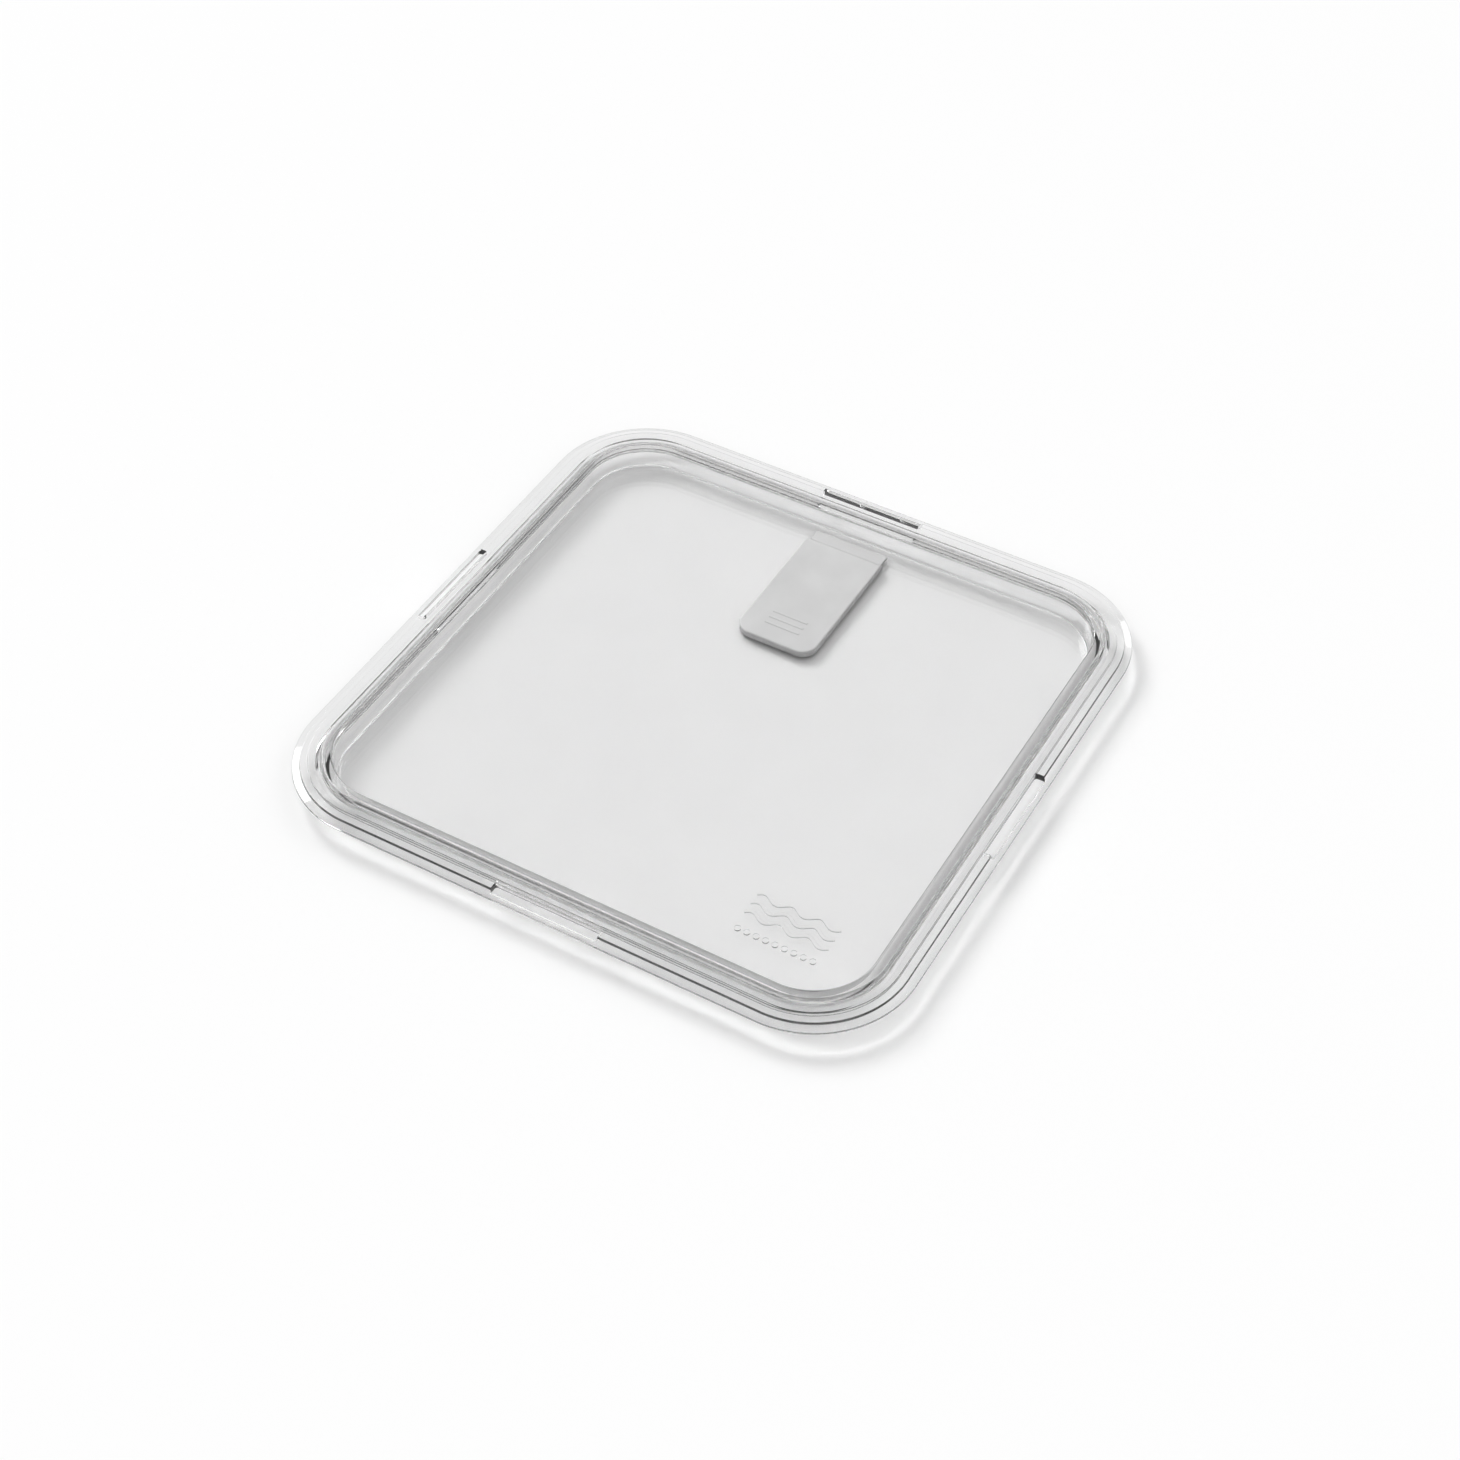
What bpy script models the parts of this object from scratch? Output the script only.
"""Airtight inner lid of a square lunch box: clear lid shell, seal ring and hinged silicone vent.

The frame is in metres with +Z up. Its origin is the middle of the lid's underside, and +Y points to
the side that the vent's root is on. The lid lies on the flat underside of its recessed panel.
A distance called "inset" is measured inwards from the lid's outer edge.
"""

import math

import bmesh
import bpy
from mathutils import Matrix, Vector

MM = 0.001

# Outline and heights of the lid
SIDE = 135 * MM
CORNER_RADIUS = 21.5 * MM
PANEL_THICKNESS = 1.3 * MM
RECESS_DEPTH = 4.8 * MM
RIDGE_HEIGHT = 0.8 * MM
STEP_HEIGHT = 0.5 * MM
EDGE_THICKNESS = 1.0 * MM
EDGE_FALL = 0.5 * MM
FLANGE_TOP = PANEL_THICKNESS + RECESS_DEPTH
EDGE_TOP = FLANGE_TOP - 2 * STEP_HEIGHT
SEAT_HEIGHT = EDGE_TOP - EDGE_THICKNESS
GROOVE_TOP = SEAT_HEIGHT + 0.5 * MM
RIDGE_TOP = FLANGE_TOP + RIDGE_HEIGHT

# Insets of the lid's features
OUTER_STEP = 1.6 * MM
INNER_STEP = 3.3 * MM
GROOVE_OUTER = 5.3 * MM
RIDGE = 5.6 * MM
GROOVE_INNER = 6.7 * MM
PLUG = 7.0 * MM
RECESS = 8.2 * MM
PANEL = 8.7 * MM
WALL_DRAFT = 0.1 * MM
RIDGE_DRAFT = 0.5 * MM
LEAD_IN = 0.7 * MM
EDGE_ROUNDING = 0.45 * MM
RIM_ROUNDING = 0.25 * MM
FOOT_ROUNDING = 0.6 * MM
CAP_MARGIN = 1.5 * MM

# Seal ring, round the wall in the shallow groove under the ridge
CLEARANCE = 0.3 * MM
SEAL_PROUD = 0.6 * MM
SEAL_CHAMFER = 0.15 * MM

# Slots through the flange, one in the middle of each side
SLOT_LENGTH = 23.5 * MM
SLOT_OUTER = 1.2 * MM
SLOT_INNER = INNER_STEP + WALL_DRAFT
SLOT_CORNER = 0.6 * MM

# Silicone vent: a fixed root with two studs, and a tab with the stopper
TAB_WIDTH = 18.0 * MM
ROOT_WIDTH = 17.0 * MM
ROOT_BACK = 56.0 * MM
HINGE_Y = 53.0 * MM
TAB_FRONT = 20.4 * MM
ROOT_THICKNESS = 0.6 * MM
TAB_THICKNESS = 1.4 * MM
TAB_CORNER = 3.5 * MM
TAB_ROUNDING = 0.25 * MM
STUD_SPACING = 10 * MM
STUD_RADIUS = 1.2 * MM
STUD_HEAD_RADIUS = 1.55 * MM
STUD_HEAD_LOW = 0.1 * MM
STUD_HEAD_HIGH = 0.5 * MM
VENT_Y = 34 * MM
VENT_RADIUS = 3.0 * MM
STOPPER_END = 0.35 * MM
VENT_UNDERSIDE = PANEL_THICKNESS + CLEARANCE
HINGE_Z = VENT_UNDERSIDE + ROOT_THICKNESS
TAB_TOP = VENT_UNDERSIDE + TAB_THICKNESS
TAB_BACK = HINGE_Y - CLEARANCE / 2
RAMP_END = TAB_BACK - (TAB_TOP - HINGE_Z)
STUD_Y = (HINGE_Y + ROOT_BACK) / 2

CORNER_STEPS = 12
ROUNDING_STEPS = 3
CIRCLE_STEPS = 32
ROUND_PROFILE = 0.5
OVERCUT = 1 * MM
SMOOTH_ANGLE = math.radians(35)

CLEAR_PLASTIC = {"color": (0.90, 0.91, 0.91), "roughness": 0.06, "transmission": 0.9}
MILKY_SILICONE = {"color": (0.78, 0.79, 0.79), "roughness": 0.45, "transmission": 0.3}
GREY_SILICONE = {"color": (0.62, 0.62, 0.62), "roughness": 0.5, "transmission": 0.1}


def clear_scene():
    for obj in list(bpy.data.objects):
        bpy.data.objects.remove(obj)


def add_object(name, bm, origin=(0, 0, 0)):
    """Make an object of a bmesh drawn in world places, with its own origin at this place."""
    bmesh.ops.recalc_face_normals(bm, faces=bm.faces)
    bmesh.ops.translate(bm, verts=bm.verts, vec=-Vector(origin))
    mesh = bpy.data.meshes.new(name)
    bm.to_mesh(mesh)
    bm.free()
    obj = bpy.data.objects.new(name, mesh)
    obj.location = origin
    bpy.context.scene.collection.objects.link(obj)
    return obj


def finish(obj, look):
    """Shade the round faces smooth and give the object a material of its own."""
    obj.data.shade_smooth()
    obj.data.set_sharp_from_angle(angle=SMOOTH_ANGLE)
    material = bpy.data.materials.new(obj.name)
    material.use_nodes = True
    shader = material.node_tree.nodes["Principled BSDF"]
    shader.inputs["Base Color"].default_value = (*look["color"], 1)
    shader.inputs["Roughness"].default_value = look["roughness"]
    shader.inputs["Transmission Weight"].default_value = look["transmission"]
    shader.inputs["Metallic"].default_value = 0
    obj.data.materials.append(material)


def combine(obj, helper, operation):
    """Cut a helper's shape from an object, or join it on. The helper itself isn't a piece."""
    modifier = obj.modifiers.new(helper.name, "BOOLEAN")
    modifier.operation = operation
    modifier.solver = "EXACT"
    modifier.object = helper
    helper.hide_render = True
    helper.display_type = "WIRE"


def rounded_corner(before, corner, after, radius):
    """The points of an arc of this radius that is tangent to both lines meeting at the corner."""
    back = (before - corner).normalized()
    ahead = (after - corner).normalized()
    half_angle = back.angle(ahead) / 2
    centre = corner + (back + ahead).normalized() * radius / math.sin(half_angle)
    first = corner + back * radius / math.tan(half_angle) - centre
    last = corner + ahead * radius / math.tan(half_angle) - centre
    start = math.atan2(first.y, first.x)
    sweep = math.remainder(math.atan2(last.y, last.x) - start, math.tau)
    points = []
    for step in range(ROUNDING_STEPS + 1):
        angle = start + sweep * step / ROUNDING_STEPS
        points.append(centre + radius * Vector((math.cos(angle), math.sin(angle))))
    return points


def rounded_section(corners):
    """Round those (inset, z, radius) corners of a section that state a radius."""
    section = []
    for index, corner in enumerate(corners):
        here = Vector(corner[:2])
        if len(corner) == 2:
            section.append(here)
            continue
        before = Vector(corners[index - 1][:2])
        after = Vector(corners[index + 1][:2])
        section.extend(rounded_corner(before, here, after, corner[2]))
    return section


def turn_round_lid(inset, z):
    """One turn round the lid at this inset: four corner arcs joined by straight sides."""
    half = SIDE / 2 - inset
    radius = CORNER_RADIUS - inset
    places = []
    for corner in range(4):
        start = corner * math.pi / 2
        middle = start + math.pi / 4
        centre_x = math.copysign(half - radius, math.cos(middle))
        centre_y = math.copysign(half - radius, math.sin(middle))
        for step in range(CORNER_STEPS + 1):
            angle = start + step * math.pi / 2 / CORNER_STEPS
            x = centre_x + radius * math.cos(angle)
            y = centre_y + radius * math.sin(angle)
            places.append(Vector((x, y, z)))
    return places


def sweep_round_lid(section, ring):
    """Sweep (inset, z) points round the lid. A ring closes on itself, and the rest gets flat ends."""
    bm = bmesh.new()
    turns = []
    for inset, z in section:
        turns.append([bm.verts.new(place) for place in turn_round_lid(inset, z)])
    pairs = list(zip(turns, turns[1:]))
    if ring:
        pairs.append((turns[-1], turns[0]))
    else:
        bm.faces.new(turns[0])
        bm.faces.new(turns[-1])
    for first, second in pairs:
        for here in range(len(first)):
            there = (here + 1) % len(first)
            bm.faces.new((first[here], first[there], second[there], second[here]))
    return bm


def round_edges(bm, edges, radius):
    bmesh.ops.bevel(
        bm,
        geom=edges,
        offset=radius,
        segments=ROUNDING_STEPS,
        profile=ROUND_PROFILE,
        affect="EDGES",
    )


def add_cylinder(name, radius, x, y, low, high):
    bm = bmesh.new()
    bmesh.ops.create_cone(
        bm, cap_ends=True, segments=CIRCLE_STEPS, radius1=radius, radius2=radius, depth=high - low
    )
    bmesh.ops.translate(bm, verts=bm.verts, vec=(x, y, (low + high) / 2))
    return add_object(name, bm)


def add_block(name, width, back, front, low, high):
    bm = bmesh.new()
    bmesh.ops.create_cube(bm, size=1)
    bmesh.ops.scale(bm, verts=bm.verts, vec=(width, back - front, high - low))
    bmesh.ops.translate(bm, verts=bm.verts, vec=(0, (back + front) / 2, (low + high) / 2))
    return add_object(name, bm)


def stud_places():
    return [(-STUD_SPACING / 2, STUD_Y), (STUD_SPACING / 2, STUD_Y)]


def add_slot_cutter(number):
    """A block with rounded upright edges that cuts the slot of one side."""
    bm = bmesh.new()
    bmesh.ops.create_cube(bm, size=1)
    width = SLOT_INNER - SLOT_OUTER
    height = RIDGE_TOP - SEAT_HEIGHT + 2 * OVERCUT
    bmesh.ops.scale(bm, verts=bm.verts, vec=(SLOT_LENGTH, width, height))
    upright = [edge for edge in bm.edges if abs(edge.verts[0].co.z - edge.verts[1].co.z) > OVERCUT]
    round_edges(bm, upright, SLOT_CORNER)
    middle = SIDE / 2 - (SLOT_INNER + SLOT_OUTER) / 2
    height_middle = (RIDGE_TOP + SEAT_HEIGHT) / 2
    bmesh.ops.translate(bm, verts=bm.verts, vec=(0, middle, height_middle))
    bmesh.ops.rotate(bm, verts=bm.verts, matrix=Matrix.Rotation(number * math.pi / 2, 3, "Z"))
    return add_object(f"slot_cutter_{number}", bm)


def build_lid_shell():
    """Clear panel with an upright wall round it, a ridge and a stepped flange.

    The flange's underside is the seat on the container's rim, and the shallow groove between the seat
    and the wall keeps the seal in place.
    """
    section = rounded_section(
        [
            (PANEL + CAP_MARGIN, PANEL_THICKNESS),
            (PANEL, PANEL_THICKNESS, FOOT_ROUNDING),
            (RECESS, RIDGE_TOP, EDGE_ROUNDING),
            (RIDGE + RIDGE_DRAFT, RIDGE_TOP, EDGE_ROUNDING),
            (RIDGE, FLANGE_TOP),
            (INNER_STEP, FLANGE_TOP),
            (INNER_STEP - WALL_DRAFT, FLANGE_TOP - STEP_HEIGHT),
            (OUTER_STEP + WALL_DRAFT, FLANGE_TOP - STEP_HEIGHT),
            (OUTER_STEP, EDGE_TOP),
            (0, EDGE_TOP - EDGE_FALL, RIM_ROUNDING),
            (0, SEAT_HEIGHT, RIM_ROUNDING),
            (GROOVE_OUTER - LEAD_IN, SEAT_HEIGHT),
            (GROOVE_OUTER + WALL_DRAFT, GROOVE_TOP),
            (GROOVE_INNER, GROOVE_TOP),
            (PLUG, 0, FOOT_ROUNDING),
            (PLUG + CAP_MARGIN, 0),
        ]
    )
    shell = add_object("lid_shell", sweep_round_lid(section, ring=False))
    for number in range(4):
        combine(shell, add_slot_cutter(number), "DIFFERENCE")
    above = PANEL_THICKNESS + OVERCUT
    vent = add_cylinder("vent_cutter", VENT_RADIUS, 0, VENT_Y, -OVERCUT, above)
    combine(shell, vent, "DIFFERENCE")
    hole_radius = STUD_RADIUS + CLEARANCE
    recess_radius = STUD_HEAD_RADIUS + CLEARANCE
    recess_top = STUD_HEAD_HIGH + CLEARANCE
    for number, (x, y) in enumerate(stud_places()):
        hole = add_cylinder(f"stud_hole_cutter_{number}", hole_radius, x, y, -OVERCUT, above)
        combine(shell, hole, "DIFFERENCE")
        recess = add_cylinder(
            f"stud_recess_cutter_{number}", recess_radius, x, y, -OVERCUT, recess_top
        )
        combine(shell, recess, "DIFFERENCE")
    finish(shell, CLEAR_PLASTIC)


def build_seal_ring():
    """Silicone ring round the wall, with its top in the groove and its lower edges chamfered."""
    outer = GROOVE_OUTER + WALL_DRAFT + CLEARANCE
    inner = GROOVE_INNER - CLEARANCE
    high = GROOVE_TOP - CLEARANCE
    low = SEAT_HEIGHT - SEAL_PROUD
    section = [
        Vector((inner, high)),
        Vector((outer, high)),
        Vector((outer, low + SEAL_CHAMFER)),
        Vector((outer + SEAL_CHAMFER, low)),
        Vector((inner - SEAL_CHAMFER, low)),
        Vector((inner, low + SEAL_CHAMFER)),
    ]
    finish(add_object("seal_ring", sweep_round_lid(section, ring=True)), MILKY_SILICONE)


def build_vent_anchor():
    """Root of the vent: a thin strip held to the panel by two headed studs."""
    front = HINGE_Y + CLEARANCE / 2
    anchor = add_block("vent_anchor", ROOT_WIDTH, ROOT_BACK, front, VENT_UNDERSIDE, HINGE_Z)
    strip_middle = VENT_UNDERSIDE + ROOT_THICKNESS / 2
    head_middle = (STUD_HEAD_LOW + STUD_HEAD_HIGH) / 2
    for number, (x, y) in enumerate(stud_places()):
        shaft = add_cylinder(f"stud_{number}", STUD_RADIUS, x, y, head_middle, strip_middle)
        combine(anchor, shaft, "UNION")
        head = add_cylinder(
            f"stud_head_{number}", STUD_HEAD_RADIUS, x, y, STUD_HEAD_LOW, STUD_HEAD_HIGH
        )
        combine(anchor, head, "UNION")
    finish(anchor, GREY_SILICONE)


def tab_outline():
    """The tab from above, from the hinge's left end round to its right end."""
    half = TAB_WIDTH / 2
    outline = [Vector((-half, TAB_BACK)), Vector((-half, RAMP_END))]
    for side, start in ((-1, math.pi), (1, 1.5 * math.pi)):
        centre = Vector((side * (half - TAB_CORNER), TAB_FRONT + TAB_CORNER))
        for step in range(CORNER_STEPS + 1):
            angle = start + step * math.pi / 2 / CORNER_STEPS
            outline.append(centre + TAB_CORNER * Vector((math.cos(angle), math.sin(angle))))
    outline.extend((Vector((half, RAMP_END)), Vector((half, TAB_BACK))))
    return outline


def build_vent_tab():
    """Flat pull tab that turns about its root's top edge, with a ramp there and the stopper below."""
    bm = bmesh.new()
    bottom = []
    top = []
    outline = tab_outline()
    for place in outline:
        height = HINGE_Z if place.y in (outline[0].y, outline[-1].y) else TAB_TOP
        bottom.append(bm.verts.new((place.x, place.y, VENT_UNDERSIDE)))
        top.append(bm.verts.new((place.x, place.y, height)))
    bm.faces.new(bottom)
    bm.faces.new(top[1:-1])
    bm.faces.new((top[0], top[1], top[-2], top[-1]))
    for here in range(len(bottom)):
        there = (here + 1) % len(bottom)
        bm.faces.new((bottom[here], bottom[there], top[there], top[here]))
    bmesh.ops.recalc_face_normals(bm, faces=bm.faces)
    flat_top = top[1:-1]
    rim = [edge for edge in bm.edges if edge.verts[0] in flat_top and edge.verts[1] in flat_top]
    round_edges(bm, rim, TAB_ROUNDING)
    tab = add_object("vent_tab", bm, origin=(0, HINGE_Y, HINGE_Z))
    stopper_radius = VENT_RADIUS - CLEARANCE
    stopper = add_cylinder("stopper", stopper_radius, 0, VENT_Y, STOPPER_END, HINGE_Z)
    combine(tab, stopper, "UNION")
    finish(tab, GREY_SILICONE)


def main():
    clear_scene()
    build_lid_shell()
    build_seal_ring()
    build_vent_anchor()
    build_vent_tab()


main()
